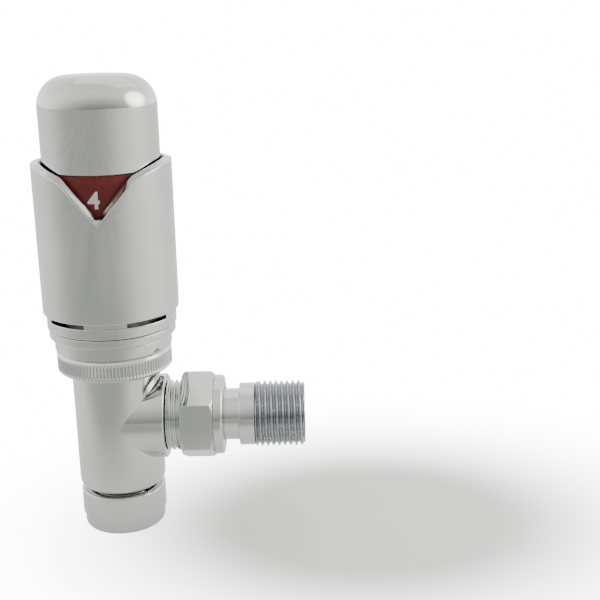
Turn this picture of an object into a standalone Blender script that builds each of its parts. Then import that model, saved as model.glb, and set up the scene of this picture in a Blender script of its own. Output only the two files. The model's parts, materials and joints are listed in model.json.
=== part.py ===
"""Angle thermostatic radiator valve: valve body, union tail and sensor head.

Frame: +Z up along the valve axis, +X along the union tail, origin at the middle of the overall
box's underside, which is the plane of the compression nut's foot. Sizes below are millimetres,
measured from the valve axis, and become metres where a mesh is made.
"""

import math

import bmesh
import bpy

MM = 0.001
GAP = 0.3                       # clearance between pieces that rest on each other

# --- driving dimensions -------------------------------------------------------------------
BODY_R = 13.75                  # valve body barrel
TAIL_Z = 35.8                   # height of the union axis above the pipe entry
BODY_BOTTOM = 13.3
BODY_TOP = 60.0
HEAD_THREAD_R = 14.85           # M30 x 1.5 on the body's neck
HEAD_THREAD_BOTTOM = 52.2
PIPE_R = 7.5                    # 15 mm pipe
PIPE_CLEAR = 0.2
INLET_THREAD_R = 10.3           # male thread for the compression nut
INLET_THREAD_BOTTOM = 6.5
SEAT_Z = 28.0
SEAT_BORE_R = 5.0
CHAMBER_R = 9.5
CHAMBER_TOP = 45.0
INSERT_BORE_R = 10.8

BOSS_R = 13.5                   # outlet boss
BOSS_END = 15.9
UNION_THREAD_R = 11.3
UNION_THREAD_PITCH = 1.6
UNION_MOUTH = 27.0
OUTLET_R = 8.0

NUT_FLATS = 25.2                # union nut across flats
NUT_START = 20.7
NUT_HEX_END = 31.0
NUT_END = 34.1
NUT_SHOULDER_R = 12.7
NUT_CHAMFER = 1.4
NUT_TURN = 32.0                 # how far a corner stands above the camera-side level, degrees

TAIL_NECK_R = 8.25
TAIL_COLLAR_R = 10.0
TAIL_COLLAR_START = 38.9
TAIL_THREAD_START = 43.9
TAIL_THREAD_R = 10.478          # half-inch parallel pipe thread
TAIL_THREAD_PITCH = 1.814
TAIL_THREAD_DEPTH = 1.0
TAIL_END = 59.9
TAIL_BORE_R = 6.3
TAIL_MOUTH_R = 7.8
TAIL_FLANGE_R = 11.2
GASKET_THICK = 0.8

COMPRESSION_NUT_R = 13.53
COMPRESSION_NUT_TOP = 12.95
NUT_STEP_Z = 4.4                # below this the compression nut is a little slimmer
NUT_STEP = 0.55

RING_NUT_R = 17.93
RING_NUT_BOTTOM = 52.4
RING_NUT_TOP = 60.1
KNURL_BOTTOM = 53.5
KNURL_TOP = 58.9
KNURL_COUNT = 52
KNURL_DEPTH = 0.35

BASE_R = 18.2                   # head base
BASE_TOP = 64.3
BASE_HUB_R = 17.3
LIMIT_RING_R = 19.6
LIMIT_RING_TOP = 67.25
VENT_RING_R = 20.0
VENT_RING_TOP = 70.8
VENT_CAGE_R = 19.5
VENT_CAGE_TOP = 78.5
WINDOW_CENTRES = (-139.0, -41.0, 41.0, 139.0)   # round from the pointer notch, degrees
WINDOW_ANGLE = 44.0
WINDOW_TOP = 76.0

SLEEVE_R = 21.0
AXIS_X = (SLEEVE_R - TAIL_END) / 2      # where the valve axis stands in the part's frame
SLEEVE_BOTTOM = 72.3
SLEEVE_TOP = 119.2
SLEEVE_BORE_R = SLEEVE_R - 2.75
SLEEVE_SOCKET_R = VENT_CAGE_R + GAP
SHELF = (80.4, 84.0)            # shelf in the sleeve that the handle's foot turns on
SHELF_R = SLEEVE_BORE_R - 1.65
CLIP_GROOVE = (86.5, 87.9)
CLIP_GROOVE_R = SLEEVE_BORE_R + 0.65
POINTER_TURN = 4.0              # the pointer notch stands this far towards the union, degrees
NOTCH_TIP = 102.8               # mid-wall height of the notch's tip
NOTCH_KNEE = (10.2, 114.9)      # half width and height where the notch flattens out
NOTCH_SHOULDER = (20.3, 118.4)

CAP_R = SLEEVE_BORE_R - 0.57    # clears the sleeve's bore as it turns
CAP_WALL = 1.3
CAP_BOTTOM = 115.95
CAP_TOP = 143.8
CAP_SHOULDER = 8.6
CAP_CROWN = 0.8
DIAL_R = CAP_R - 0.23
DIAL_BOTTOM = 99.5
CORE_WALL = 1.5
CORE_FOOT_R = SLEEVE_BORE_R - 0.45
CORE_FOOT = (SHELF[1] + GAP, 86.2)
CORE_TOP = 134.0
CORE_WEB = (96.0, 104.0)

SPINDLE_R = 2.0
SPINDLE_BORE_R = SPINDLE_R + GAP
SPINDLE_BOTTOM = 28.9
SPINDLE_TOP = 71.5
SPINDLE_COLLAR = (57.2, 58.6)
SPINDLE_COLLAR_R = 4.6
WASHER_BOTTOM = 30.6            # leaves the valve open by 2.6 at the stored setting
HOLDER_TOP = 35.4
INSERT_COLLAR = (61.1, 62.6)
INSERT_NECK_TOP = 66.4
INSERT_FLOOR = (41.0, 46.0)
SPRING_CAVITY_R = 5.2
GLAND_BOTTOM = 61.0
GLAND_TOP = 68.2
CAPSULE_R = 11.45
CARRIAGE_R = CAPSULE_R + 0.9
CARRIAGE_BOTTOM = 90.0
CARRIAGE_TOP = 132.0
CAPSULE_TOP = 114.0
SPRING_CAP = (129.8, 131.6)
GUIDE_R = CARRIAGE_R + 1.85
GUIDE_TOP = 95.5
BASE_FLOOR = (63.0, 66.0)

SEGMENTS = 36
SMALL_SEGMENTS = 24

MATERIALS = {
    "chrome": ((0.72, 0.73, 0.72), 0.08, 1.0),
    "brass": ((0.62, 0.43, 0.17), 0.3, 1.0),
    "steel": ((0.55, 0.55, 0.54), 0.3, 1.0),
    "red_plastic": ((0.28, 0.01, 0.015), 0.4, 0.0),
    "white_plastic": ((0.8, 0.8, 0.77), 0.5, 0.0),
    "rubber": ((0.02, 0.02, 0.02), 0.7, 0.0),
}


def clear_scene():
    for obj in list(bpy.data.objects):
        bpy.data.objects.remove(obj)


def material(name):
    """The named finish, made once as a Principled BSDF."""
    found = bpy.data.materials.get(name)
    if found:
        return found
    colour, roughness, metallic = MATERIALS[name]
    made = bpy.data.materials.new(name)
    made.use_nodes = True
    shader = made.node_tree.nodes["Principled BSDF"]
    shader.inputs["Base Color"].default_value = (*colour, 1.0)
    shader.inputs["Roughness"].default_value = roughness
    shader.inputs["Metallic"].default_value = metallic
    return made


def place(name, data, height):
    """Links a new object whose origin stands on the valve axis at this height."""
    obj = bpy.data.objects.new(name, data)
    obj.location = (AXIS_X * MM, 0.0, height * MM)
    bpy.context.scene.collection.objects.link(obj)
    return obj


def finish_mesh(name, bm, finish, height=0.0):
    """Turns a bmesh into a placed object, faces out, smooth with its sharp edges kept."""
    bmesh.ops.recalc_face_normals(bm, faces=bm.faces[:])
    mesh = bpy.data.meshes.new(name)
    bm.to_mesh(mesh)
    bm.free()
    if finish:
        mesh.materials.append(material(finish))
    mesh.shade_smooth()
    mesh.set_sharp_from_angle(angle=math.radians(35))
    return place(name, mesh, height)


def revolve(name, profile, finish=None, axis="Z", segments=SEGMENTS):
    """A closed outline of (radius, distance along the axis) spun once round the axis.

    With axis X the object's origin and its spin axis stand at the height of the union."""
    bm = bmesh.new()
    verts = [bm.verts.new((r * MM, 0.0, z * MM)) for r, z in profile]
    edges = [bm.edges.new((verts[i], verts[(i + 1) % len(verts)])) for i in range(len(verts))]
    bmesh.ops.spin(
        bm, geom=verts + edges, cent=(0, 0, 0), axis=(0, 0, 1), angle=math.tau,
        steps=segments, use_merge=True,
    )
    bmesh.ops.remove_doubles(bm, verts=bm.verts[:], dist=1e-7)
    bmesh.ops.dissolve_degenerate(bm, edges=bm.edges[:], dist=1e-7)
    if axis == "Z":
        return finish_mesh(name, bm, finish)
    for v in bm.verts:
        x, y, z = v.co
        v.co = (z, y, -x)
    return finish_mesh(name, bm, finish, TAIL_Z)


def prism(name, outline, low, high, along):
    """A closed outline extruded from low to high along an axis.

    Outline points are (x, y) along Z, (x, z) along Y, and along X (y, height over the union)."""
    place_point = {
        "Z": lambda a, b, c: (a * MM, b * MM, c * MM),
        "Y": lambda a, b, c: (a * MM, c * MM, b * MM),
        "X": lambda a, b, c: (c * MM, a * MM, b * MM),
    }[along]
    bm = bmesh.new()
    face = bm.faces.new([bm.verts.new(place_point(a, b, low)) for a, b in outline])
    made = bmesh.ops.extrude_face_region(bm, geom=[face])
    moved = [g for g in made["geom"] if isinstance(g, bmesh.types.BMVert)]
    bmesh.ops.translate(bm, vec=place_point(0.0, 0.0, high - low), verts=moved)
    return finish_mesh(name, bm, None, TAIL_Z if along == "X" else 0.0)


def combine(obj, helper, operation):
    """Boolean with a helper object, which is hidden from the build."""
    helper.hide_render = True
    helper.display_type = "WIRE"
    modifier = obj.modifiers.new(operation.title(), "BOOLEAN")
    modifier.operation = operation
    modifier.object = helper
    modifier.solver = "EXACT"
    return obj


def tube(name, inner, outer, low, high, finish, **more):
    """A plain ring or sleeve."""
    return revolve(name, [(inner, low), (outer, low), (outer, high), (inner, high)], finish, **more)


def bevelled_ring(inner, outer, low, high, bevel):
    """Outline of a ring whose two outer edges are bevelled."""
    return [
        (inner, low), (outer - bevel, low), (outer, low + bevel),
        (outer, high - bevel), (outer - bevel, high), (inner, high),
    ]


def arc(centre, radius, start, end, steps):
    """Points of an arc in the (radius, height) plane, angles in degrees."""
    points = []
    for i in range(steps + 1):
        angle = math.radians(start + (end - start) * i / steps)
        points.append((centre[0] + radius * math.cos(angle), centre[1] + radius * math.sin(angle)))
    return points


def thread_outline(radius, depth, pitch, start, end):
    """Zigzag outline of a male thread from start to end along the axis."""
    turns = int((end - start) / pitch)
    points = []
    for i in range(turns):
        at = start + i * pitch
        points += [(radius - depth, at + 0.2 * pitch), (radius, at + 0.7 * pitch)]
    return points


def coil(name, radius, wire, low, high, turns, finish):
    """A compression spring standing on the Z axis."""
    per_turn = 10
    count = turns * per_turn
    curve = bpy.data.curves.new(name, "CURVE")
    curve.dimensions = "3D"
    curve.bevel_depth = wire * MM
    curve.bevel_resolution = 0
    curve.use_fill_caps = True
    spline = curve.splines.new("POLY")
    spline.points.add(count)
    for i in range(count + 1):
        angle = math.tau * i / per_turn
        z = low + wire + (high - low - 2 * wire) * i / count
        point = (radius * math.cos(angle) * MM, radius * math.sin(angle) * MM, z * MM)
        spline.points[i].co = (*point, 1.0)
    curve.materials.append(material(finish))
    return place(name, curve, 0.0)


def make_valve_body():
    """Barrel and outlet boss in one casting, with the pipe socket, seat and chamber cut out."""
    barrel = [(0.0, INLET_THREAD_BOTTOM), (INLET_THREAD_R, INLET_THREAD_BOTTOM)]
    barrel += [(INLET_THREAD_R, BODY_BOTTOM)]
    round_r = 3.0
    barrel += [(BODY_R - round_r, BODY_BOTTOM)]
    barrel += arc((BODY_R - round_r, BODY_BOTTOM + round_r), round_r, -70, 0, 4)
    barrel += [(BODY_R, HEAD_THREAD_BOTTOM), (HEAD_THREAD_R, HEAD_THREAD_BOTTOM + 0.8)]
    barrel += [(HEAD_THREAD_R, BODY_TOP), (0.0, BODY_TOP)]
    body = revolve("valve_body", barrel, "chrome")
    boss = [(0.0, 0.0), (BOSS_R, 0.0), (BOSS_R, BOSS_END - 0.5), (BOSS_R - 0.5, BOSS_END)]
    boss += [(UNION_THREAD_R - 0.9, BOSS_END)]
    boss += thread_outline(UNION_THREAD_R, 0.7, UNION_THREAD_PITCH, BOSS_END, UNION_MOUTH - 0.6)
    boss += [(UNION_THREAD_R - 0.7, UNION_MOUTH), (0.0, UNION_MOUTH)]
    combine(body, revolve("boss_add", boss, axis="X"), "UNION")
    socket_r = PIPE_R + PIPE_CLEAR
    bore = [(0.0, 3.0), (socket_r, 3.0), (socket_r, 16.0), (SEAT_BORE_R, 16.0)]
    bore += [(SEAT_BORE_R, SEAT_Z), (CHAMBER_R, SEAT_Z), (CHAMBER_R, CHAMBER_TOP)]
    bore += [(INSERT_BORE_R, CHAMBER_TOP), (INSERT_BORE_R, BODY_TOP + 2), (0.0, BODY_TOP + 2)]
    combine(body, revolve("bore_cut", bore, segments=SMALL_SEGMENTS), "DIFFERENCE")
    outlet = [(0.0, 2.0), (OUTLET_R - 0.6, 2.0), (OUTLET_R, UNION_MOUTH - 3.0)]
    outlet += [(CHAMBER_R, UNION_MOUTH - 1.0), (CHAMBER_R, UNION_MOUTH + 2), (0.0, UNION_MOUTH + 2)]
    cut = revolve("outlet_cut", outlet, axis="X", segments=SMALL_SEGMENTS)
    combine(body, cut, "DIFFERENCE")


def make_inlet():
    """Round compression nut and the brass olive that it squeezes on to the pipe."""
    slim = COMPRESSION_NUT_R - NUT_STEP
    entry_r = PIPE_R + PIPE_CLEAR + 0.2
    thread_clear_r = INLET_THREAD_R + 0.4
    nut = [(entry_r, 0.0), (slim - 1.3, 0.0), (slim - 0.35, 0.5), (slim, 1.6)]
    nut += [(slim, NUT_STEP_Z), (COMPRESSION_NUT_R, NUT_STEP_Z + 0.3)]
    nut += [(COMPRESSION_NUT_R, COMPRESSION_NUT_TOP - 0.5)]
    nut += [(COMPRESSION_NUT_R - 0.5, COMPRESSION_NUT_TOP)]
    nut += [(thread_clear_r, COMPRESSION_NUT_TOP), (thread_clear_r, 4.2), (entry_r, 2.2)]
    revolve("compression_nut", nut, "chrome")
    inner = PIPE_R + 0.15
    ring = [(inner, 2.9), (inner + 0.5, 2.8), (9.5, 4.0), (9.5, 5.0), (inner + 0.5, 6.1), (inner, 6.1)]
    revolve("olive", ring, "brass", segments=SMALL_SEGMENTS)


def make_union():
    """Hexagon union nut with a round shoulder, its gasket, and the tail it clamps."""
    corner_r = NUT_FLATS / 2 / math.cos(math.radians(30))
    hexagon = []
    for i in range(6):
        angle = math.radians(60 * i + 180 - NUT_TURN)
        hexagon.append((corner_r * math.cos(angle), corner_r * math.sin(angle)))
    limit = bevelled_ring(0.0, corner_r + 0.02, NUT_START, NUT_HEX_END, NUT_CHAMFER)
    nut = revolve("union_nut", limit, "chrome", axis="X")
    combine(nut, prism("hex_limit", hexagon, NUT_START - 5, NUT_END + 5, "X"), "INTERSECT")
    shoulder = [(0.0, NUT_HEX_END - 2), (NUT_SHOULDER_R - 1, NUT_HEX_END - 2)]
    shoulder += [(NUT_SHOULDER_R, NUT_HEX_END - 0.5), (NUT_SHOULDER_R, NUT_END - 0.9)]
    shoulder += [(NUT_SHOULDER_R - 0.9, NUT_END), (0.0, NUT_END)]
    combine(nut, revolve("shoulder_add", shoulder, axis="X"), "UNION")
    flange_end = NUT_HEX_END - 0.5
    hole = [(0.0, NUT_START - 2), (UNION_THREAD_R + 0.3, NUT_START - 2)]
    hole += [(UNION_THREAD_R + 0.3, flange_end), (TAIL_NECK_R + 0.35, flange_end)]
    hole += [(TAIL_NECK_R + 0.35, NUT_END + 2), (0.0, NUT_END + 2)]
    cut = revolve("nut_bore_cut", hole, axis="X", segments=SMALL_SEGMENTS)
    combine(nut, cut, "DIFFERENCE")

    gasket_start = UNION_MOUTH + GAP
    flange_start = gasket_start + GASKET_THICK + GAP
    tube("union_gasket", CHAMBER_R, UNION_THREAD_R - 0.3, gasket_start,
         gasket_start + GASKET_THICK, "rubber", axis="X", segments=SMALL_SEGMENTS)

    spigot_r = OUTLET_R - 0.5
    tail = [(TAIL_BORE_R, 23.0), (spigot_r, 23.0), (spigot_r, 25.0), (CHAMBER_R - 0.4, 26.5)]
    tail += [(CHAMBER_R - 0.4, flange_start), (TAIL_FLANGE_R, flange_start)]
    tail += [(TAIL_FLANGE_R, flange_end - GAP), (TAIL_NECK_R, flange_end - GAP)]
    tail += [(TAIL_NECK_R, TAIL_COLLAR_START), (TAIL_COLLAR_R, TAIL_COLLAR_START)]
    tail += [(TAIL_COLLAR_R, TAIL_THREAD_START)]
    tail += thread_outline(TAIL_THREAD_R, TAIL_THREAD_DEPTH, TAIL_THREAD_PITCH,
                           TAIL_THREAD_START, TAIL_END - 0.8)
    tail += [(TAIL_THREAD_R - TAIL_THREAD_DEPTH, TAIL_END), (TAIL_MOUTH_R, TAIL_END)]
    tail += [(TAIL_MOUTH_R, TAIL_COLLAR_START + 2), (TAIL_BORE_R, TAIL_COLLAR_START + 0.5)]
    revolve("tail_piece", tail, "chrome", axis="X")


def make_insert():
    """Screwed-in valve insert, its seals and gland nut."""
    outer_r = INSERT_BORE_R - GAP
    skirt_r = CHAMBER_R - GAP
    low, high = INSERT_COLLAR
    bottom, floor = INSERT_FLOOR
    neck_bore = SPRING_CAVITY_R
    body = [(SPINDLE_BORE_R, bottom), (skirt_r, bottom), (skirt_r, CHAMBER_TOP + GAP)]
    body += [(outer_r, CHAMBER_TOP + GAP), (outer_r, low), (12.5, low), (12.5, high)]
    body += [(6.7, high), (6.7, INSERT_NECK_TOP), (neck_bore, INSERT_NECK_TOP)]
    body += [(neck_bore, floor), (SPINDLE_BORE_R, floor)]
    revolve("valve_insert", body, "brass", segments=SMALL_SEGMENTS)
    seal = bevelled_ring(11.0, 12.4, BODY_TOP + GAP, low - GAP, 0.15)
    revolve("insert_seal", seal, "rubber", segments=SMALL_SEGMENTS)
    gland_r = neck_bore - GAP
    groove = (63.0, 64.6)
    gland = [(SPINDLE_BORE_R, GLAND_BOTTOM), (gland_r, GLAND_BOTTOM)]
    gland += [(gland_r, INSERT_NECK_TOP + GAP), (6.4, INSERT_NECK_TOP + GAP), (6.4, GLAND_TOP)]
    gland += [(SPINDLE_BORE_R, GLAND_TOP), (SPINDLE_BORE_R, groove[1]), (3.9, groove[1])]
    gland += [(3.9, groove[0]), (SPINDLE_BORE_R, groove[0])]
    revolve("gland_nut", gland, "brass", segments=SMALL_SEGMENTS)
    ring = arc((3.0, sum(groove) / 2), 0.5, 0, 300, 5)
    revolve("spindle_o_ring", ring, "rubber", segments=SMALL_SEGMENTS)


def make_spindle():
    """Spindle with the disc, washer and nut at its foot, and the spring that lifts it open."""
    low, high = SPINDLE_COLLAR
    pin = [(0.0, SPINDLE_BOTTOM), (SPINDLE_R, SPINDLE_BOTTOM), (SPINDLE_R, low)]
    pin += [(SPINDLE_COLLAR_R, low), (SPINDLE_COLLAR_R, high), (SPINDLE_R, high)]
    pin += [(SPINDLE_R, SPINDLE_TOP - 0.6), (SPINDLE_R - 0.6, SPINDLE_TOP), (0.0, SPINDLE_TOP)]
    revolve("spindle", pin, "steel", segments=SMALL_SEGMENTS)
    tube("seat_washer", SPINDLE_BORE_R, 6.6, WASHER_BOTTOM, WASHER_BOTTOM + 2, "rubber",
         segments=SMALL_SEGMENTS)
    holder = bevelled_ring(SPINDLE_BORE_R, 7.0, WASHER_BOTTOM + 2 + GAP, HOLDER_TOP, 0.4)
    revolve("disc_holder", holder, "brass", segments=SMALL_SEGMENTS)
    nut_bore = SPINDLE_BORE_R / math.cos(math.radians(30))      # its six flats clear the spindle
    tube("disc_nut", nut_bore, 3.6, SPINDLE_BOTTOM, WASHER_BOTTOM - GAP, "brass", segments=6)
    coil("return_spring", 3.7, 0.5, INSERT_FLOOR[1] + GAP, low - GAP, 6, "steel")


def make_ring_nut():
    """Knurled nut that clamps the head to the valve body."""
    flange_recess = 17.1
    ring = [(HEAD_THREAD_R + 0.3, RING_NUT_BOTTOM), (RING_NUT_R - 1.6, RING_NUT_BOTTOM)]
    ring += [(RING_NUT_R - 0.1, KNURL_BOTTOM), (RING_NUT_R - 0.1, KNURL_TOP)]
    ring += [(RING_NUT_R - 0.9, RING_NUT_TOP), (16.3, RING_NUT_TOP), (16.3, RING_NUT_TOP - 1.1)]
    ring += [(flange_recess, RING_NUT_TOP - 1.1), (flange_recess, 56.8)]
    ring += [(HEAD_THREAD_R + 0.3, 56.8)]
    nut = revolve("ring_nut", ring, "chrome")
    half = math.pi / KNURL_COUNT
    crown = []
    for i in range(2 * KNURL_COUNT):
        radius = RING_NUT_R if i % 2 else RING_NUT_R - KNURL_DEPTH
        crown.append((radius * math.cos(i * half), radius * math.sin(i * half)))
    knurl = prism("knurl_add", crown, KNURL_BOTTOM + 0.2, KNURL_TOP - 0.2, "Z")
    core = tube("knurl_core_cut", 0.0, flange_recess + 0.2, KNURL_BOTTOM - 1, KNURL_TOP + 1, None)
    combine(knurl, core, "DIFFERENCE")
    combine(nut, knurl, "UNION")


def make_head_base():
    """Base of the head, with the limit ring and the vented ring that stand on it."""
    low, high = BASE_FLOOR
    skirt_r = HEAD_THREAD_R + 0.3
    base = [(skirt_r, 57.1), (16.9, 57.1), (16.9, 58.7), (16.0, 58.7), (16.0, RING_NUT_TOP + GAP)]
    base += [(BASE_R, RING_NUT_TOP + GAP), (BASE_R, BASE_TOP), (BASE_HUB_R, BASE_TOP)]
    base += [(BASE_HUB_R, VENT_RING_TOP - 0.4), (16.4, VENT_RING_TOP - 0.4), (16.4, high)]
    base += [(7.0, high), (7.0, low), (skirt_r, low)]
    revolve("head_base", base, "chrome")
    ring = bevelled_ring(BASE_HUB_R + GAP, LIMIT_RING_R, BASE_TOP + GAP, LIMIT_RING_TOP, 0.25)
    revolve("limit_ring", ring, "chrome")
    foot = LIMIT_RING_TOP + GAP
    inner = BASE_HUB_R + GAP
    vent = [(inner, foot), (VENT_RING_R - 0.25, foot), (VENT_RING_R, foot + 0.25)]
    vent += [(VENT_RING_R, VENT_RING_TOP - 0.2), (VENT_RING_R - 0.2, VENT_RING_TOP)]
    vent += [(VENT_CAGE_R, VENT_RING_TOP), (VENT_CAGE_R, VENT_CAGE_TOP), (inner, VENT_CAGE_TOP)]
    cage = revolve("vent_ring", vent, "chrome")
    for i, centre in enumerate(WINDOW_CENTRES):
        wedge = [(0.0, 0.0)]
        for side in (-0.5, -0.17, 0.17, 0.5):
            angle = math.radians(-90.0 + POINTER_TURN + centre + side * WINDOW_ANGLE)
            wedge.append((25.0 * math.cos(angle), 25.0 * math.sin(angle)))
        window = prism(f"window_cut_{i}", wedge, VENT_RING_TOP + 0.02, WINDOW_TOP, "Z")
        combine(cage, window, "DIFFERENCE")


def make_sleeve():
    """Outer sleeve with the pointer notch cut into the front of its rim."""
    outline = [(SLEEVE_SOCKET_R, SLEEVE_BOTTOM), (SLEEVE_R - 0.4, SLEEVE_BOTTOM)]
    outline += [(SLEEVE_R, SLEEVE_BOTTOM + 0.5), (SLEEVE_R, SLEEVE_TOP - 1.0)]
    outline += [(SLEEVE_R - 0.8, SLEEVE_TOP), (SLEEVE_BORE_R, SLEEVE_TOP)]
    outline += [(SLEEVE_BORE_R, CLIP_GROOVE[1]), (CLIP_GROOVE_R, CLIP_GROOVE[1])]
    outline += [(CLIP_GROOVE_R, CLIP_GROOVE[0]), (SLEEVE_BORE_R, CLIP_GROOVE[0])]
    outline += [(SLEEVE_BORE_R, SHELF[1]), (SHELF_R, SHELF[1])]
    outline += [(SHELF_R, SHELF[0]), (SLEEVE_SOCKET_R, SHELF[0])]
    sleeve = revolve("pointer_sleeve", outline, "chrome", segments=48)
    half = [(0.0, NOTCH_TIP), NOTCH_KNEE, NOTCH_SHOULDER, (SLEEVE_R + 3, SLEEVE_TOP + 0.4)]
    half += [(SLEEVE_R + 3, SLEEVE_TOP + 5)]
    outline = half + [(-x, z) for x, z in reversed(half) if x > 0]
    notch = prism("notch_cut", outline, -SLEEVE_R - 5, 0.0, "Y")
    notch.rotation_euler = (0.0, 0.0, math.radians(POINTER_TURN))
    combine(sleeve, notch, "DIFFERENCE")


def make_handle():
    """Turning cap, red dial ring and the plastic core that carries both."""
    inner_r = CAP_R - CAP_WALL
    edge = CAP_TOP - CAP_CROWN
    cap = [(inner_r, CAP_BOTTOM), (CAP_R, CAP_BOTTOM)]
    cap += arc((CAP_R - CAP_SHOULDER, edge - CAP_SHOULDER), CAP_SHOULDER, 0, 84, 7)
    cap += [(CAP_R * 0.28, CAP_TOP - 0.15), (0.0, CAP_TOP), (0.0, CAP_TOP - CAP_WALL - 0.3)]
    bend = CAP_SHOULDER - CAP_WALL
    cap += list(reversed(arc((inner_r - bend, edge - CAP_SHOULDER), bend, 0, 84, 3)))
    revolve("turning_cap", cap, "chrome")
    core_r = inner_r - GAP
    tube("dial_ring", inner_r, DIAL_R, DIAL_BOTTOM, CAP_BOTTOM - GAP, "red_plastic")
    low, high = CORE_WEB
    bore = core_r - CORE_WALL
    web = CARRIAGE_R + 0.3
    core = [(bore, CORE_FOOT[0]), (CORE_FOOT_R, CORE_FOOT[0]), (CORE_FOOT_R, CORE_FOOT[1])]
    core += [(core_r, CORE_FOOT[1]), (core_r, CORE_TOP), (bore, CORE_TOP)]
    core += [(bore, high), (web, high), (web, low), (bore, low)]
    revolve("handle_core", core, "white_plastic", segments=SMALL_SEGMENTS)
    clip = (CLIP_GROOVE[0] + 0.15, CLIP_GROOVE[1] - 0.15)
    tube("handle_clip", core_r + 0.35, CLIP_GROOVE_R - 0.2, *clip, "steel", segments=SEGMENTS)


def make_sensor():
    """Liquid sensor in its carriage, with the rod it pushes and the spring that lets it yield."""
    rod_r = 3.0
    floor = CARRIAGE_BOTTOM + 1.5
    wall = CAPSULE_R + GAP
    cup = [(rod_r + 0.4, CARRIAGE_BOTTOM), (CARRIAGE_R, CARRIAGE_BOTTOM), (CARRIAGE_R, CARRIAGE_TOP)]
    cup += [(wall, CARRIAGE_TOP), (wall, floor), (rod_r + 0.4, floor)]
    revolve("sensor_carriage", cup, "white_plastic", segments=SMALL_SEGMENTS)
    capsule = [(0.0, floor + GAP), (CAPSULE_R, floor + GAP)]
    capsule += arc((CAPSULE_R - 2, CAPSULE_TOP - 2), 2.0, 0, 90, 3) + [(0.0, CAPSULE_TOP)]
    revolve("sensor_capsule", capsule, "brass", segments=SMALL_SEGMENTS)
    rod = [(0.0, SPINDLE_TOP + GAP), (rod_r, SPINDLE_TOP + GAP), (rod_r, floor), (0.0, floor)]
    revolve("push_rod", rod, "steel", segments=SMALL_SEGMENTS)
    coil("override_spring", 8.0, 0.8, CAPSULE_TOP + GAP, SPRING_CAP[0] - GAP, 5, "steel")
    tube("spring_cap", 4.0, CAPSULE_R, *SPRING_CAP, "white_plastic", segments=SMALL_SEGMENTS)
    tube("guide_tube", CARRIAGE_R + 0.45, GUIDE_R, BASE_FLOOR[1] + GAP, GUIDE_TOP,
         "white_plastic", segments=SMALL_SEGMENTS)


def main():
    clear_scene()
    make_valve_body()
    make_inlet()
    make_union()
    make_insert()
    make_spindle()
    make_ring_nut()
    make_head_base()
    make_sleeve()
    make_handle()
    make_sensor()


main()
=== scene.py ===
"""Looks of the thermostatic radiator valve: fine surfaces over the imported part, finishes, light and camera.

Lengths in the helpers are millimetres from the valve axis and the foot of the inlet nut. The row
frame's X is shifted by AXIS_X, because the frame's origin is the middle of the overall box.
"""

import json
import math

import bmesh
import bpy
import numpy as np
from mathutils import Matrix, Vector


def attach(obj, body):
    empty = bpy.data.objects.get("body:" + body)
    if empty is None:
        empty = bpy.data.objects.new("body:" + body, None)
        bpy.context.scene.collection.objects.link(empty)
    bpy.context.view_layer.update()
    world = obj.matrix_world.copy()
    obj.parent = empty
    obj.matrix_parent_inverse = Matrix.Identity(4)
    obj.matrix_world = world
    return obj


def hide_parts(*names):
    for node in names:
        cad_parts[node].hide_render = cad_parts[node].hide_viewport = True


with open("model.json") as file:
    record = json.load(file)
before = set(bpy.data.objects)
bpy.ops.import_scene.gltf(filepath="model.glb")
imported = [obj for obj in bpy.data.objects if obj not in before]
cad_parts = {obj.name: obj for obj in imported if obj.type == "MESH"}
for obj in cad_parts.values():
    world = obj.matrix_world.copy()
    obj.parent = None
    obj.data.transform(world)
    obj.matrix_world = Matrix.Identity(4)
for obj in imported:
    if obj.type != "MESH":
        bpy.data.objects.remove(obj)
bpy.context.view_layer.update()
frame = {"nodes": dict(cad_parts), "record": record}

MM = 0.001
AXIS_X = -19.45                 # valve axis, in the row frame
TAIL_Z = 35.8                   # height of the union axis
TURN = 2 * np.pi
FRONT = -90.0 + 4.0             # direction of the pointer notch, degrees

CAP_R = 17.66
CAP_WALL = 1.3
CAP_BOTTOM = 115.95
CAP_EDGE = 143.1                # where wall and top would meet without the shoulder
CAP_SHOULDER = 9.0
CAP_TOP = 143.78
CAP_CEILING = 142.1
DIAL_R = 17.43
DIAL_BORE = 16.4
DIAL_BOTTOM = 99.5
DIAL_TOP = 115.64
NUMERAL_Z = 108.9
NUMERAL_SIZE = 5.1
NUMERALS = (("5", -50), ("4", 1), ("3", 50), ("2", 100), ("1", 150), ("0", 205))  # degrees from -Y

SLEEVE_R = 20.98
SLEEVE_BORE = 18.45
SLEEVE_BOTTOM = 72.35
SLEEVE_LIP = 0.4                # rounding of the rim's outer edge
RIM_Z = 118.7
NOTCH_OFFSETS = (0.0, 10.2, 19.0, 22.0)
NOTCH_HEIGHTS = (102.8, 114.9, 118.55, RIM_Z)

RING_BORE = 17.6
VENT_R = 19.98
CAGE_R = 19.48
CAGE_TOP = 78.45
WINDOW_TOP = 76.0
WINDOW_CENTRES = (-139.0, -41.0, 41.0, 139.0)   # degrees from the notch
WINDOW_HALF = 22.0
LIMIT_R = 19.58
BASE_R = 18.18
RING_NUT_R = 17.9
RING_NUT_BORE = 15.15
KNURL_COUNT = 104
KNURL_DEPTH = 0.42

BODY_R = 13.74
INLET_THREAD_R = 10.28
HEAD_THREAD_R = 14.8
CHAMBER_R = 9.5
SEAT_Z = 28.0
BOSS_R = 13.48
UNION_THREAD = (11.28, 0.75, 1.6)       # radius, depth, pitch
NUT_HALF_FLATS = 12.6
NUT_CORNER = 180.0 - 32.0               # one corner's direction round the union axis, degrees
NUT_START = 20.75
NUT_HEX_END = 31.0
NUT_SHOULDER_R = 12.68
NECK_R = 8.24
COLLAR_R = 9.98
TAIL_BORE = 6.3
TAIL_MOUTH = 7.8
TAIL_THREAD = (10.46, 1.05, 1.814)
TAIL_THREAD_START = 43.9
INLET_NUT_R = 13.5
INLET_NUT_FOOT_R = 12.95


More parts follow.
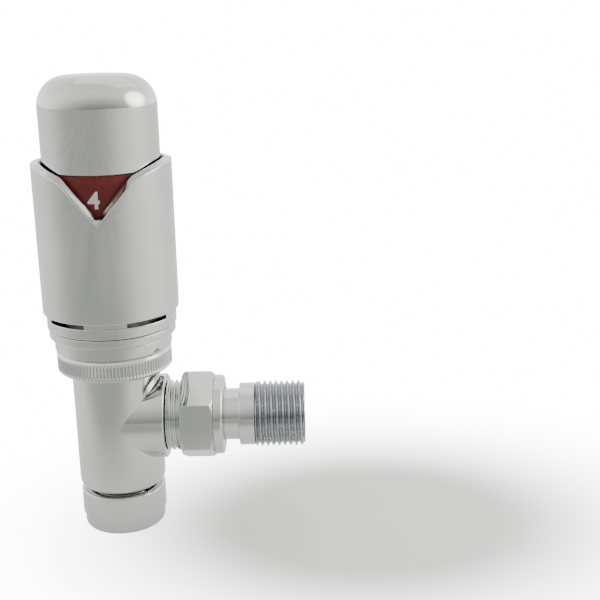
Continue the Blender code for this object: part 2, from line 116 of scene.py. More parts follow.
# --- surfaces ---------------------------------------------------------------------------------

def rounded(corners, steps=6):
    """Outline through corners of (radius, along, rounding). Each rounded corner becomes an arc
    that touches both sides, so highlights run round it."""
    given = np.array([c[:2] for c in corners], float)
    outline = []
    for i, corner in enumerate(corners):
        here = given[i]
        rounding = corner[2] if len(corner) > 2 else 0.0
        if rounding <= 0:
            outline.append(here)
            continue
        before = given[i - 1] - here
        after = given[(i + 1) % len(given)] - here
        u = before / np.linalg.norm(before)
        v = after / np.linalg.norm(after)
        half = math.acos(np.clip(u @ v, -1, 1)) / 2
        room = 0.49 * min(np.linalg.norm(before), np.linalg.norm(after))
        reach = min(rounding / math.tan(half), room)
        radius = reach * math.tan(half)
        centre = here + (u + v) / np.linalg.norm(u + v) * radius / math.sin(half)
        first = here + u * reach - centre
        last = here + v * reach - centre
        span = math.acos(np.clip(first @ last / radius**2, -1, 1))
        for k in range(steps + 1):
            t = k / steps
            mix = math.sin((1 - t) * span) * first + math.sin(t * span) * last
            outline.append(centre + mix / math.sin(span))
    return np.array(outline)


def spun(outline, columns=256, axis="Z", start=0.0, sweep=TURN):
    """Grid of points made by turning an outline of (radius, along) about the valve or union axis."""
    outline = np.asarray(outline)
    closed = abs(sweep - TURN) < 1e-9
    angle = start + sweep * np.arange(columns) / (columns if closed else columns - 1)
    return polar(outline[:, :1], outline[:, 1:2], angle[None, :], axis)


def band(rows, angle, axis):
    """Grid of points from rows of (radius, along), each a number or one value for every angle."""
    columns = angle.size
    radius = np.stack([np.broadcast_to(r, columns) for r, _ in rows])
    along = np.stack([np.broadcast_to(a, columns) for _, a in rows])
    return polar(radius, along, angle.reshape(1, -1), axis)


def polar(radius, along, angle, axis="Z"):
    """Points in the row frame, in metres, from radius, distance along the axis and angle."""
    radius, along, angle = np.broadcast_arrays(radius, along, angle)
    side, up = radius * np.cos(angle), radius * np.sin(angle)
    if axis == "Z":
        points = np.stack([side + AXIS_X, up, along], axis=-1)
    else:
        points = np.stack([along + AXIS_X, side, up + TAIL_Z], axis=-1)
    return points * MM


def grid_faces(rows, columns, loop_rows, loop_columns, offset):
    """Quads between neighbouring points of a grid, wound so that the outside faces out."""
    index = np.arange(rows * columns).reshape(rows, columns) + offset
    if loop_rows:
        index = np.vstack([index, index[:1]])
    if loop_columns:
        index = np.hstack([index, index[:, :1]])
    corners = [index[:-1, :-1], index[:-1, 1:], index[1:, 1:], index[1:, :-1]]
    return np.stack(corners, axis=-1).reshape(-1, 4)


def add_piece(name, shells, finish, body, replaces=(), sharp=50):
    """One object from grids of points. Each shell is (points, loops its rows, loops its columns).

    Rows that meet on the axis are merged to one point, and an open sector's two ends are capped."""
    verts, faces, offset = [], [], 0
    for points, loop_rows, loop_columns in shells:
        rows, columns = points.shape[:2]
        verts.append(points.reshape(-1, 3))
        faces += grid_faces(rows, columns, loop_rows, loop_columns, offset).tolist()
        if not loop_columns:
            ids = np.arange(rows * columns).reshape(rows, columns) + offset
            faces += [ids[:, 0].tolist(), ids[::-1, -1].tolist()]
        offset += rows * columns
    mesh = bpy.data.meshes.new(name)
    mesh.from_pydata(np.concatenate(verts), [], faces)
    clean(mesh)
    mesh.shade_smooth()
    mesh.set_sharp_from_angle(angle=math.radians(sharp))
    mesh.materials.append(finish)
    obj = bpy.data.objects.new(name, mesh)
    bpy.context.scene.collection.objects.link(obj)
    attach(obj, body)
    if replaces:
        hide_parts(*replaces)
    return obj


def clean(mesh):
    """Merges points that coincide, which closes poles, and drops faces left with no area."""
    bm = bmesh.new()
    bm.from_mesh(mesh)
    bmesh.ops.remove_doubles(bm, verts=bm.verts[:], dist=1e-8)
    bmesh.ops.dissolve_degenerate(bm, edges=bm.edges[:], dist=1e-9)
    bm.to_mesh(mesh)
    bm.free()


def soft_min(a, b, blend):
    """The smaller of two values, eased over a band so that the edge between them is rounded."""
    h = np.clip(0.5 + 0.5 * (b - a) / blend, 0, 1)
    return b * (1 - h) + a * h - blend * h * (1 - h)


def smooth_step(x, low, high):
    """0 below low, 1 above high, and an even S-curve between."""
    t = np.clip((x - low) / (high - low), 0, 1)
    return t * t * (3 - 2 * t)


# --- finishes ---------------------------------------------------------------------------------

def node_material(name):
    """A new material, its node tree and its Principled shader."""
    mat = bpy.data.materials.new(name)
    mat.use_nodes = True
    tree = mat.node_tree
    return mat, tree, tree.nodes["Principled BSDF"]


def noise(tree, scale, detail=2.0, stretch=(1.0, 1.0, 1.0)):
    """Noise over Object coordinates, which the piece keeps when it moves."""
    coords = tree.nodes.new("ShaderNodeTexCoord")
    mapping = tree.nodes.new("ShaderNodeMapping")
    mapping.inputs["Scale"].default_value = stretch
    texture = tree.nodes.new("ShaderNodeTexNoise")
    texture.inputs["Scale"].default_value = scale
    texture.inputs["Detail"].default_value = detail
    tree.links.new(coords.outputs["Object"], mapping.inputs["Vector"])
    tree.links.new(mapping.outputs["Vector"], texture.inputs["Vector"])
    return texture.outputs["Fac"]


def spread(tree, value, low, high):
    """The value, remapped so that its usual span fills low to high."""
    node = tree.nodes.new("ShaderNodeMapRange")
    node.inputs["From Min"].default_value = 0.3
    node.inputs["From Max"].default_value = 0.7
    node.inputs["To Min"].default_value = low
    node.inputs["To Max"].default_value = high
    tree.links.new(value, node.inputs["Value"])
    return node.outputs["Result"]


def blend_colours(tree, value, first, second):
    """One colour where the value is low, the other where it is high."""
    ramp = tree.nodes.new("ShaderNodeValToRGB")
    ramp.color_ramp.elements[0].position = 0.35
    ramp.color_ramp.elements[0].color = (*first, 1)
    ramp.color_ramp.elements[1].position = 0.65
    ramp.color_ramp.elements[1].color = (*second, 1)
    tree.links.new(value, ramp.inputs["Fac"])
    return ramp.outputs["Color"]


def bump(tree, value, distance):
    """A normal that reads the value as height, up to this many metres."""
    node = tree.nodes.new("ShaderNodeBump")
    node.inputs["Strength"].default_value = 1.0
    node.inputs["Distance"].default_value = distance
    tree.links.new(value, node.inputs["Height"])
    return node.outputs["Normal"]


def surface(name, first, second, roughness, metallic, scale, relief=0.0, stretch=(1, 1, 1)):
    """A finish whose colour and roughness drift between two values, with a faint relief."""
    mat, tree, shader = node_material(name)
    drift = noise(tree, scale, 3.0, stretch)
    tree.links.new(blend_colours(tree, drift, first, second), shader.inputs["Base Color"])
    tree.links.new(spread(tree, drift, *roughness), shader.inputs["Roughness"])
    shader.inputs["Metallic"].default_value = metallic
    if relief:
        fine = noise(tree, scale * 3.1, 2.0, stretch)
        tree.links.new(bump(tree, fine, relief), shader.inputs["Normal"])
    return mat


# name, two colours, roughness span, metallic, grain per metre, relief in metres
CHROME = surface("chrome_plate", (0.60, 0.61, 0.59), (0.65, 0.66, 0.64), (0.03, 0.07), 1.0, 60, 2e-6)
CHROME_THREAD = surface("chrome_thread", (0.33, 0.345, 0.36), (0.38, 0.395, 0.41), (0.05, 0.09), 1.0, 90,
                        1e-6)
BRASS = surface("bare_brass", (0.42, 0.27, 0.10), (0.60, 0.42, 0.18), (0.22, 0.4), 1.0, 300, 4e-6)
STEEL = surface("drawn_steel", (0.45, 0.45, 0.44), (0.6, 0.6, 0.59), (0.2, 0.35), 1.0, 500, 2e-6)
RED = surface("dark_red_plastic", (0.10, 0.002, 0.002), (0.135, 0.003, 0.003), (0.42, 0.52), 0.0, 500, 3e-6)
WHITE = surface("off_white_plastic", (0.74, 0.73, 0.68), (0.82, 0.81, 0.77), (0.4, 0.55), 0.0, 250, 3e-6)
INK = surface("numeral_ink", (0.62, 0.56, 0.53), (0.72, 0.66, 0.62), (0.4, 0.5), 0.0, 900, 1e-6)
RUBBER = surface("black_rubber", (0.012, 0.012, 0.012), (0.03, 0.03, 0.03), (0.55, 0.75), 0.0, 600, 4e-6)
# painted shade: a near-black finish for the sleeve's inside faces, standing for the shadow there
CAVITY_SHADE = surface("painted_cavity_shade", (0.012, 0.012, 0.012), (0.02, 0.02, 0.02), (0.5, 0.6), 0.0, 400)

BY_SLOT = {
    "chrome": CHROME, "brass": BRASS, "steel": STEEL,
    "red_plastic": RED, "white_plastic": WHITE, "rubber": RUBBER,
}


# --- head -------------------------------------------------------------------------------------

def build_cap():
    """Turning cap: straight wall, a broad shoulder and a slightly domed top, hollow below."""
    bore = CAP_R - CAP_WALL
    outer = [(CAP_R, CAP_BOTTOM, 0.25), (CAP_R, CAP_EDGE, CAP_SHOULDER), (0.0, CAP_TOP)]
    inner = [(0.0, CAP_CEILING), (bore, CAP_EDGE - 1.6, 7.5), (bore, CAP_BOTTOM, 0.1)]
    points = spun(rounded(outer + inner, 16))
    add_piece("cap_skin", [(points, True, True)], CHROME, "handle", ["turning_cap"])


def build_dial():
    """Red dial ring under the cap, and its numerals, which run down towards closed."""
    ring = [(DIAL_BORE, DIAL_BOTTOM), (DIAL_R, DIAL_BOTTOM, 0.2), (DIAL_R, DIAL_TOP, 0.1)]
    ring += [(DIAL_BORE, DIAL_TOP)]
    points = spun(rounded(ring), 192)
    add_piece("dial_skin", [(points, True, True)], RED, "handle", ["dial_ring"])
    for text, degrees in NUMERALS:
        numeral(text, -90.0 + degrees, DIAL_R, NUMERAL_Z, NUMERAL_SIZE)


def numeral(text, azimuth, radius, height, size):
    """A dial number: the outline of the built-in letterform, wrapped round the dial and sunk in it
    so that only a film stands out."""
    curve = bpy.data.curves.new("letterform", "FONT")
    curve.body = text
    curve.size = 1.0
    curve.offset = 0.025
    curve.extrude = 0.5
    letter = bpy.data.objects.new("letterform", curve)
    bpy.context.scene.collection.objects.link(letter)
    bpy.context.view_layer.update()
    mesh = bpy.data.meshes.new_from_object(letter)
    bpy.data.objects.remove(letter)
    slice_upright(mesh, 14)
    co = np.empty(len(mesh.vertices) * 3, np.float32)
    mesh.vertices.foreach_get("co", co)
    co = co.reshape(-1, 3).astype(float)
    low, high = co[:, :2].min(0), co[:, :2].max(0)
    scale = size / (high[1] - low[1])
    flat = (co[:, :2] - (low + high) / 2) * scale
    film, sunk = 0.015, 0.2
    depth = np.where(co[:, 2] > 0, radius + film, radius - sunk)
    angle = math.radians(azimuth) + flat[:, 0] / radius
    wrapped = polar(depth, height + flat[:, 1], angle)
    mesh.vertices.foreach_set("co", wrapped.astype(np.float32).reshape(-1))
    mesh.name = f"numeral_{text}"
    mesh.materials.clear()
    mesh.materials.append(INK)
    obj = bpy.data.objects.new(f"numeral_{text}", mesh)
    bpy.context.scene.collection.objects.link(obj)
    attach(obj, "handle")


def slice_upright(mesh, count):
    """Cuts a flat letter with upright planes, so that it can bend round the dial."""
    bm = bmesh.new()
    bm.from_mesh(mesh)
    xs = [v.co.x for v in bm.verts]
    for x in np.linspace(min(xs), max(xs), count)[1:-1]:
        geometry = bm.verts[:] + bm.edges[:] + bm.faces[:]
        bmesh.ops.bisect_plane(bm, geom=geometry, plane_co=(x, 0, 0), plane_no=(1, 0, 0))
    bmesh.ops.remove_doubles(bm, verts=bm.verts[:], dist=1e-5)
    bm.to_mesh(mesh)
    bm.free()


def notch_height(angle, radius):
    """Middle height of the sleeve's rim: a steep V at the front that eases into shallow shoulders.
    It is the CAD notch's outline read at the sideways offset of each point, with the knees eased
    by averaging over a short span."""
    sideways = radius * np.sin(angle)
    across = np.abs(sideways)
    span = 1.2 * np.arange(-4, 5) / 4
    eased_shape = [np.interp(np.abs(sideways + step), NOTCH_OFFSETS, NOTCH_HEIGHTS) for step in span]
    sharp_tip = np.interp(across, NOTCH_OFFSETS, NOTCH_HEIGHTS)
    height = np.where(across > 5, np.mean(eased_shape, axis=0), sharp_tip)
    return np.where(np.cos(angle) > 0, height, RIM_Z)


def build_sleeve():
    """Outer sleeve. Its rim follows the notch and slopes down outwards, steepest at the V's tip.
    The faces inside it are painted near-black, as painted shade for the shadow inside the sleeve."""
    turn = TURN * np.arange(720) / 720
    middle = notch_height(turn - math.radians(FRONT), 19.6)
    fall = 0.5 + 1.0 * smooth_step(118.6 - middle, 0.0, 12.0)
    inner_top = np.minimum(middle + fall / 2, 119.15)
    outer_top = middle - fall / 2
    foot = [(19.85, SLEEVE_BOTTOM), (SLEEVE_R, SLEEVE_BOTTOM, 0.5), (SLEEVE_R, 76.0)]
    rows = [tuple(row) for row in rounded(foot)[:-1]]
    wall_start = 73.2
    for t in np.linspace(0, 1, 9):
        rows.append((SLEEVE_R, wall_start + (outer_top - SLEEVE_LIP - wall_start) * t))
    for t in np.linspace(0, math.pi / 2, 7)[1:]:
        drop = SLEEVE_LIP * (1 - math.sin(t))
        rows.append((SLEEVE_R - SLEEVE_LIP * (1 - math.cos(t)), outer_top - drop))
    brink = SLEEVE_BORE + 0.2
    for t in np.linspace(0, 1, 8)[1:-1]:
        radius = SLEEVE_R - SLEEVE_LIP + (brink - SLEEVE_R + SLEEVE_LIP) * t
        rows.append((radius, outer_top + (inner_top - outer_top) * t))
    for t in np.linspace(0, math.pi / 2, 4):
        rows.append((brink - 0.2 * math.sin(t), inner_top - 0.2 * (1 - math.cos(t))))
    first_inside = len(rows)
    rows.append((SLEEVE_BORE, np.minimum(100.0, inner_top - 0.6)))
    rows += [(SLEEVE_BORE, 87.9), (18.9, 87.9), (18.9, 86.5), (18.26, 86.5)]
    rows += [(18.26, 84.0), (16.6, 84.0), (16.6, 80.4), (19.85, 80.4)]
    points = band(rows, turn, "Z")
    sleeve = add_piece("sleeve_skin", [(points, True, True)], CHROME, "valve", ["pointer_sleeve"],
                       60)
    # painted shade: the inside faces take the near-black finish in place of their shadow
    paint_rows(sleeve, points[first_inside:], CAVITY_SHADE)


def paint_rows(obj, rows, finish):
    """Gives a second finish to the faces whose corners all belong to these rows of points."""
    obj.data.materials.append(finish)
    known = set(rounded_keys(rows.reshape(-1, 3)))
    co = np.empty(len(obj.data.vertices) * 3, np.float32)
    obj.data.vertices.foreach_get("co", co)
    inside = np.array([key in known for key in rounded_keys(co.reshape(-1, 3).astype(float))])
    for face in obj.data.polygons:
        if inside[list(face.vertices)].all():
            face.material_index = 1


def rounded_keys(points):
    """Points as tuples to a tenth of a micrometre, so that copies of a point compare equal."""
    return [tuple(p) for p in np.round(points, 7).astype(np.float32).tolist()]


def build_rings():
    """Vent ring with its cage, limit ring and head base, as rings with rounded edges."""
    vent = [(RING_BORE, 67.55), (VENT_R, 67.55, 0.3), (VENT_R, 70.8, 0.3), (RING_BORE, 70.8)]
    hoop = [(RING_BORE, WINDOW_TOP), (CAGE_R, WINDOW_TOP, 0.1), (CAGE_R, CAGE_TOP, 0.2)]
    hoop += [(RING_BORE, CAGE_TOP)]
    rib = [(RING_BORE, 70.7), (CAGE_R, 70.7), (CAGE_R, 76.1), (RING_BORE, 76.1)]
    shells = [(spun(rounded(vent)), True, True), (spun(rounded(hoop), 192), True, True)]
    for k, centre in enumerate(WINDOW_CENTRES):
        following = WINDOW_CENTRES[k + 1] if k < 3 else WINDOW_CENTRES[0] + 360.0
        start = math.radians(centre + WINDOW_HALF + FRONT)
        sweep = math.radians(following - centre - 2 * WINDOW_HALF)
        shells.append((spun(rib, 24, start=start, sweep=sweep), True, False))
    add_piece("vent_skin", shells, CHROME, "valve", ["vent_ring"])
    limit = [(RING_BORE, 64.6), (LIMIT_R, 64.6, 0.35), (LIMIT_R, 67.25, 0.3), (RING_BORE, 67.25)]
    points = spun(rounded(limit))
    add_piece("limit_skin", [(points, True, True)], CHROME, "valve", ["limit_ring"])
    base = [(RING_NUT_BORE, 57.1), (16.9, 57.1), (16.9, 58.7), (16.0, 58.7), (16.0, 60.4)]
    base += [(BASE_R, 60.4, 0.35), (BASE_R, 64.3, 0.45), (17.3, 64.3), (17.3, 70.4), (16.4, 70.4)]
    base += [(16.4, 66.0), (7.0, 66.0), (7.0, 63.0), (RING_NUT_BORE, 63.0)]
    points = spun(rounded(base))
    add_piece("base_skin", [(points, True, True)], CHROME, "valve", ["head_base"])


def build_ring_nut():
    """Knurled head nut: a rounded band whose middle carries evenly spaced vertical ribs that fade
    out at both ends. Each rib is one wave of a cosine round the nut."""
    columns = KNURL_COUNT * 10
    turn = TURN * np.arange(columns) / columns
    outer = rounded([(16.2, 52.45, 0.5), (RING_NUT_R, 53.9, 0.9), (RING_NUT_R, 54.4)], 8)
    middle = np.stack([np.full(14, RING_NUT_R), np.linspace(54.5, 58.8, 14)], axis=1)
    top = [(RING_NUT_R, 58.9), (RING_NUT_R, 59.0, 0.4), (17.1, 60.05, 0.3), (16.35, 60.05)]
    inside = [(16.35, 59.0), (17.1, 59.0), (17.1, 56.8), (RING_NUT_BORE, 56.8), (RING_NUT_BORE, 52.45)]
    outline = np.vstack([outer[:-1], middle, rounded(top, 8)[1:], inside])
    radius, along = outline[:, :1], outline[:, 1:]
    ribbed = smooth_step(along, 54.2, 54.9) * (1 - smooth_step(along, 58.2, 58.9))
    depth = np.where(radius > RING_NUT_R - 0.1, KNURL_DEPTH * ribbed, 0.0)
    wave = 0.5 - 0.5 * np.cos(KNURL_COUNT * turn)
    points = polar(radius - depth * wave, along, turn[None, :])
    add_piece("ring_nut_skin", [(points, True, True)], CHROME, "head_ring", ["ring_nut"], 70)


# --- valve ------------------------------------------------------------------------------------

def threaded(radius, depth, pitch, start, end, columns=180, per_pitch=12, run_out=0.7):
    """Radius and position of a helical thread: the crest-to-root wave moves one pitch along the
    axis in each turn, and fades in and out over the first and last part."""
    rows = int((end - start) / pitch * per_pitch) + 1
    along = np.repeat(np.linspace(start, end, rows)[:, None], columns, axis=1)
    angle = TURN * np.arange(columns)[None, :] / columns
    phase = (along - start) / pitch - angle / TURN
    wave = np.abs(2 * (phase - np.floor(phase)) - 1)
    cut = smooth_step(wave, 0.06, 0.94)
    fade = smooth_step(along, start, start + run_out * pitch)
    chamfer = radius - np.clip(along - (end - 1.1), 0, None) * 0.9
    r = radius - depth * cut * fade
    return np.minimum(r, chamfer), along, angle


def build_body():
    """Barrel with its bored steps, and the outlet boss with its helical union thread. The boss
    starts inside the barrel's wall, on the curve where a narrower barrel would meet it."""
    thread, boss_end, inside_r = INLET_THREAD_R, 15.88, 12.0
    barrel = [(7.7, 6.5), (thread, 6.5, 0.4), (thread, 13.32), (11.2, 13.32, 0.2), (BODY_R, 15.0, 2.6)]
    barrel += [(BODY_R, 52.25, 0.3), (HEAD_THREAD_R, 53.0), (HEAD_THREAD_R, 59.95, 0.4), (10.85, 59.95)]
    barrel += [(10.85, 45.0), (CHAMBER_R, 45.0), (CHAMBER_R, SEAT_Z), (5.0, SEAT_Z), (5.0, 16.0)]
    barrel += [(7.7, 16.0)]
    points = spun(rounded(barrel, 10))
    add_piece("barrel_skin", [(points, True, True)], CHROME, "valve", ["valve_body"])
    r, along, angle = threaded(*UNION_THREAD, 15.9, 26.95)
    rows = []
    for radius in (8.0, 10.5, inside_r, BOSS_R):
        sideways = radius * np.cos(angle[0])
        rows.append((radius, np.sqrt(np.clip(inside_r**2 - sideways**2, 0, None))))
    rows += rounded([(BOSS_R, 9.0), (BOSS_R, boss_end, 0.7), (10.4, 15.9)], 8)[1:].tolist()
    rows += list(zip(r[2:], along[2:]))
    rows += [(9.5, 26.98), (9.5, 26.0), (8.0, 24.0)]
    points = band(rows, angle, "X")
    add_piece("outlet_skin", [(points, True, True)], CHROME, "valve", ["valve_body"])


def build_union_nut():
    """Hexagon union nut: the six flats, a chamfer cone at each end and a round shoulder, met with
    soft edges. Radius at each point is the smallest that any of them allows there."""
    turn = TURN * np.arange(720)[None, :] / 720
    from_flat = np.mod(turn - math.radians(NUT_CORNER), TURN / 6) - TURN / 12
    hexagon = NUT_HALF_FLATS / np.cos(from_flat)
    along = np.linspace(NUT_START, NUT_HEX_END, 60)[:, None]
    cone = 13.35 + 1.35 * np.minimum(along - NUT_START, NUT_HEX_END - along)
    radius = np.minimum(soft_min(hexagon, cone, 0.5), 14.75)
    shoulder = [(12.2, NUT_HEX_END), (NUT_SHOULDER_R, 31.1, 0.2), (NUT_SHOULDER_R, 34.05, 1.0)]
    shoulder += [(8.65, 34.05)]
    rows = [(12.9, 20.72)]
    rows += list(zip(radius, along))
    rows += rounded(shoulder, 8).tolist()
    rows += [(8.65, 30.5), (11.6, 30.5), (11.6, NUT_START)]
    points = band(rows, turn, "X")
    add_piece("union_nut_skin", [(points, True, True)], CHROME, "union_ring", ["union_nut"], 60)


def build_tail():
    """Tail piece: flange, neck, collar and a helical pipe thread with a bored mouth."""
    r, along, angle = threaded(*TAIL_THREAD, TAIL_THREAD_START, 59.85, columns=200, per_pitch=14)
    front = [(TAIL_BORE, 23.0), (7.5, 23.0), (7.5, 25.0), (9.1, 26.5), (9.1, 28.4), (11.15, 28.4)]
    front += [(11.15, 30.2), (NECK_R, 30.2), (NECK_R, 38.9, 0.3), (COLLAR_R, 38.9, 0.35)]
    front += [(COLLAR_R, 43.85, 0.3), (9.4, TAIL_THREAD_START)]
    back = [(9.0, 59.88), (TAIL_MOUTH, 59.88, 0.3), (TAIL_MOUTH, 41.0), (TAIL_BORE, 39.5)]
    before = rounded(front, 6).tolist()
    after = rounded(back, 6)[1:].tolist()
    points = band([*before, *zip(r[2:], along[2:]), *after], angle, "X")
    tail = add_piece("tail_skin", [(points, True, True)], CHROME, "valve", ["tail_piece"])
    paint_rows(tail, points[len(before):-len(after)], CHROME_THREAD)


def build_inlet_nut():
    """Round compression nut with a small step, a rounded foot and a bevelled top edge."""
    nut = [(7.9, 0.02), (INLET_NUT_FOOT_R, 0.02, 1.5), (INLET_NUT_FOOT_R, 4.4)]
    nut += [(INLET_NUT_R, 4.6, 0.15), (INLET_NUT_R, 12.9, 0.5), (10.7, 12.9), (10.7, 4.2), (7.9, 2.2)]
    points = spun(rounded(nut, 8))
    add_piece("inlet_nut_skin", [(points, True, True)], CHROME, "inlet_ring", ["compression_nut"])


def finish_inner_nodes():
    """The pieces inside keep their CAD shape and take the finish of their slot."""
    slots = {s["node"]: s["material_slot"] for s in frame["record"]["subparts"]}
    for name, obj in frame["nodes"].items():
        if obj.hide_render:
            continue
        obj.data.materials.clear()
        obj.data.materials.append(BY_SLOT[slots[name]])


# --- stage ------------------------------------------------------------------------------------

BACKDROP = 16.0                 # what the camera sees behind, well into white
TENT_STRENGTH = 2.4
TENT = ((0.12, 0.22), (0.35, 0.45), (0.6, 0.78), (0.85, 1.0))   # place on the ramp, tone
LAMP = Vector((0.93, 0.05, 0.30)).normalized()
VIEWER_SIDE = (-0.35, -0.94, 0.0)
FLOOR_SIZE = 6.0
# the grey tone is painted shade on the viewer's side of the table, seen only in the chrome
FLOOR_SHADE = (0.02, 0.12, 0.80, 0.34)   # starts, is full, pale tone, dark tone
STREAKS_FROM, STREAKS_TO, STREAKS = 0.22, 0.42, 0.10
POOL_CENTRE = (0.06, -0.005, 0.0)       # the floor is seen here, and fades to white round it
POOL_STRETCH = (0.75, 1.0, 1.0)
POOL_FADE = (0.03, 0.115)


def math_node(tree, operation, *values):
    """A math node whose inputs are sockets or plain numbers."""
    node = tree.nodes.new("ShaderNodeMath")
    node.operation = operation
    for socket, value in zip(node.inputs, values):
        if isinstance(value, (int, float)):
            socket.default_value = value
        else:
            tree.links.new(value, socket)
    return node.outputs["Value"]


def component(tree, vector, direction):
    """How far a vector reaches along a direction."""
    node = tree.nodes.new("ShaderNodeVectorMath")
    node.operation = "DOT_PRODUCT"
    node.inputs[1].default_value = direction
    tree.links.new(vector, node.inputs[0])
    return node.outputs["Value"]


def eased(tree, value, low, high, start, end):
    """Start below low, end above high, and an S-curve between."""
    node = tree.nodes.new("ShaderNodeMapRange")
    node.interpolation_type = "SMOOTHSTEP"
    for name, number in zip(("From Min", "From Max", "To Min", "To Max"), (low, high, start, end)):
        node.inputs[name].default_value = number
    tree.links.new(value, node.inputs["Value"])
    return node.outputs["Result"]


def vector_length(tree, vector):
    """How long a vector is."""
    node = tree.nodes.new("ShaderNodeVectorMath")
    node.operation = "LENGTH"
    tree.links.new(vector, node.inputs[0])
    return node.outputs["Value"]


def vector_step(tree, vector, operation, constant):
    """One vector operation between a socket and a constant vector."""
    node = tree.nodes.new("ShaderNodeVectorMath")
    node.operation = operation
    node.inputs[1].default_value = constant
    tree.links.new(vector, node.inputs[0])
    return node.outputs["Vector"]


def floor_tone(tree, coords):
    """Pale near the part, greyer towards the viewer's side as painted shade for the dim side of the room,
    with faint streaks further out.
    """
    start, full, pale, dark = FLOOR_SHADE
    nearness = component(tree, coords, VIEWER_SIDE)
    aim = math_node(tree, "DIVIDE", nearness, vector_length(tree, coords))
    by_distance = eased(tree, nearness, start, full, 0.0, 1.0)
    by_direction = eased(tree, aim, 0.1, 0.98, 0.0, 1.0)
    # painted shade: the table darkens towards the viewer's side
    shading = math_node(tree, "MULTIPLY", by_distance, by_direction)
    grey = math_node(tree, "MULTIPLY_ADD", shading, dark - pale, pale)
    streaks = spread(tree, noise(tree, 9, 2.0, (1.0, 0.12, 1.0)), -0.5, 0.5)
    far = eased(tree, nearness, STREAKS_FROM, STREAKS_TO, 0.0, STREAKS)
    return math_node(tree, "ADD", grey, math_node(tree, "MULTIPLY", streaks, far))


def build_floor():
    """Large pale table top. It greys towards the viewer's side, which only the chrome sees; this grey is
    painted shade, like a table's front edge in shadow.
    Away from the part it fades to the white of the backdrop."""
    size = FLOOR_SIZE
    corners = [(-size, -size, 0), (size, -size, 0), (size, size, 0), (-size, size, 0)]
    mesh = bpy.data.meshes.new("floor")
    mesh.from_pydata(corners, [], [(0, 1, 2, 3)])
    mat, tree, shader = node_material("pale_table")
    coords = tree.nodes.new("ShaderNodeTexCoord").outputs["Object"]
    tone = floor_tone(tree, coords)
    colour = tree.nodes.new("ShaderNodeCombineColor")
    tree.links.new(tone, colour.inputs["Red"])
    tree.links.new(math_node(tree, "MULTIPLY", tone, 1.015), colour.inputs["Green"])
    tree.links.new(math_node(tree, "MULTIPLY", tone, 0.985), colour.inputs["Blue"])
    tree.links.new(colour.outputs["Color"], shader.inputs["Base Color"])
    shader.inputs["Roughness"].default_value = 0.6
    centred = vector_step(tree, coords, "SUBTRACT", POOL_CENTRE)
    away = vector_length(tree, vector_step(tree, centred, "MULTIPLY", POOL_STRETCH))
    fade = eased(tree, away, *POOL_FADE, 0.0, 1.0)
    seen = tree.nodes.new("ShaderNodeLightPath").outputs["Is Camera Ray"]
    white = tree.nodes.new("ShaderNodeEmission")
    white.inputs["Strength"].default_value = BACKDROP
    mix = tree.nodes.new("ShaderNodeMixShader")
    tree.links.new(math_node(tree, "MULTIPLY", fade, seen), mix.inputs["Fac"])
    tree.links.new(shader.outputs["BSDF"], mix.inputs[1])
    tree.links.new(white.outputs["Emission"], mix.inputs[2])
    tree.links.new(mix.outputs["Shader"], tree.nodes["Material Output"].inputs["Surface"])
    mesh.materials.append(mat)
    floor = bpy.data.objects.new("floor", mesh)
    bpy.context.scene.collection.objects.link(floor)


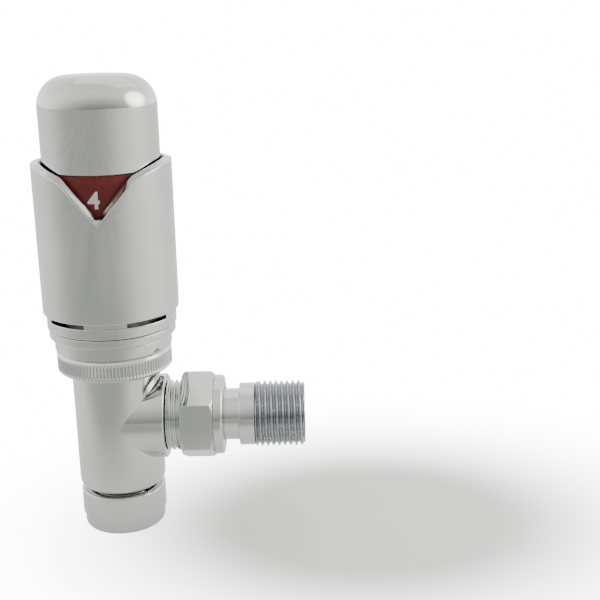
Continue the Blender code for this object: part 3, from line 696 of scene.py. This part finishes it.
def build_world():
    """White studio tent that greys at the horizon on the viewer's side, with a soft lamp glow
    behind to the right. The camera itself sees plain white."""
    world = bpy.data.worlds.new("studio")
    bpy.context.scene.world = world
    world.use_nodes = True
    tree = world.node_tree
    background = tree.nodes["Background"]
    coords = tree.nodes.new("ShaderNodeTexCoord").outputs["Generated"]
    facing = component(tree, coords, Vector((0.19, -0.98, 0.0)))
    up = math_node(tree, "MAXIMUM", component(tree, coords, (0.0, 0.0, 1.0)), 0.0)
    behind = math_node(tree, "MULTIPLY_ADD", facing, -0.5, 0.5)
    height = math_node(tree, "MULTIPLY_ADD", up, 0.62, behind)
    ramp = tree.nodes.new("ShaderNodeValToRGB")
    ramp.color_ramp.elements[0].color = (0.15, 0.155, 0.145, 1)
    ramp.color_ramp.elements[1].color = (1.0, 1.0, 1.0, 1)
    for position, tone in TENT:
        ramp.color_ramp.elements.new(position).color = (tone, tone * 1.01, tone * 0.985, 1)
    tree.links.new(height, ramp.inputs["Fac"])
    lamp = component(tree, coords, LAMP)
    glow = eased(tree, lamp, 0.88, 0.995, 0.0, 4.5)
    tint = tree.nodes.new("ShaderNodeVectorMath")
    tint.operation = "SCALE"
    dimmed = math_node(tree, "MULTIPLY_ADD", up, -0.5 * TENT_STRENGTH, TENT_STRENGTH)
    tree.links.new(dimmed, tint.inputs["Scale"])
    tree.links.new(ramp.outputs["Color"], tint.inputs[0])
    total = tree.nodes.new("ShaderNodeVectorMath")
    total.operation = "ADD"
    tree.links.new(tint.outputs["Vector"], total.inputs[0])
    tree.links.new(glow, total.inputs[1])
    seen = tree.nodes.new("ShaderNodeLightPath").outputs["Is Camera Ray"]
    pick = tree.nodes.new("ShaderNodeMix")
    pick.data_type = "VECTOR"
    tree.links.new(seen, pick.inputs["Factor"])
    tree.links.new(total.outputs["Vector"], vector_socket(pick.inputs, "A"))
    vector_socket(pick.inputs, "B").default_value = (BACKDROP, BACKDROP, BACKDROP)
    tree.links.new(vector_socket(pick.outputs, "Result"), background.inputs["Color"])


def vector_socket(sockets, name):
    """The socket of this name that takes a vector. A Mix node has one of each kind."""
    return next(socket for socket in sockets if socket.name == name and socket.type == "VECTOR")


def area_light(name, place, target, size, power):
    """A rectangular lamp at a place, turned to a target, in metres and watts."""
    light = bpy.data.lights.new(name, "AREA")
    light.shape = "RECTANGLE"
    light.size, light.size_y = size
    light.energy = power
    obj = bpy.data.objects.new(name, light)
    obj.location = place
    obj.rotation_euler = (Vector(target) - Vector(place)).to_track_quat("-Z", "Y").to_euler()
    bpy.context.scene.collection.objects.link(obj)
    return obj


def build_camera():
    """Camera a little above the valve's middle, looking slightly down along +Y."""
    data = bpy.data.cameras.new("camera")
    data.lens, data.sensor_width = 60.0, 36.0
    camera = bpy.data.objects.new("camera", data)
    pitch, yaw, roll = math.radians(15.6), math.radians(0.09), math.radians(-1.05)
    turn = Matrix.Rotation(-yaw, 4, "Z") @ Matrix.Rotation(math.pi / 2 - pitch, 4, "X")
    turn = turn @ Matrix.Rotation(roll, 4, "Z")
    camera.matrix_world = Matrix.Translation(Vector((58.4 + AXIS_X, -300.9, 157.4)) * MM) @ turn
    bpy.context.scene.collection.objects.link(camera)
    bpy.context.scene.camera = camera


build_cap()
build_dial()
build_sleeve()
build_rings()
build_ring_nut()
build_body()
build_union_nut()
build_tail()
build_inlet_nut()
finish_inner_nodes()
build_floor()
build_world()
area_light("overhead", (0.1, 0.35, 0.9), (0, 0, 0.05), (0.9, 0.6), 0.8)
build_camera()
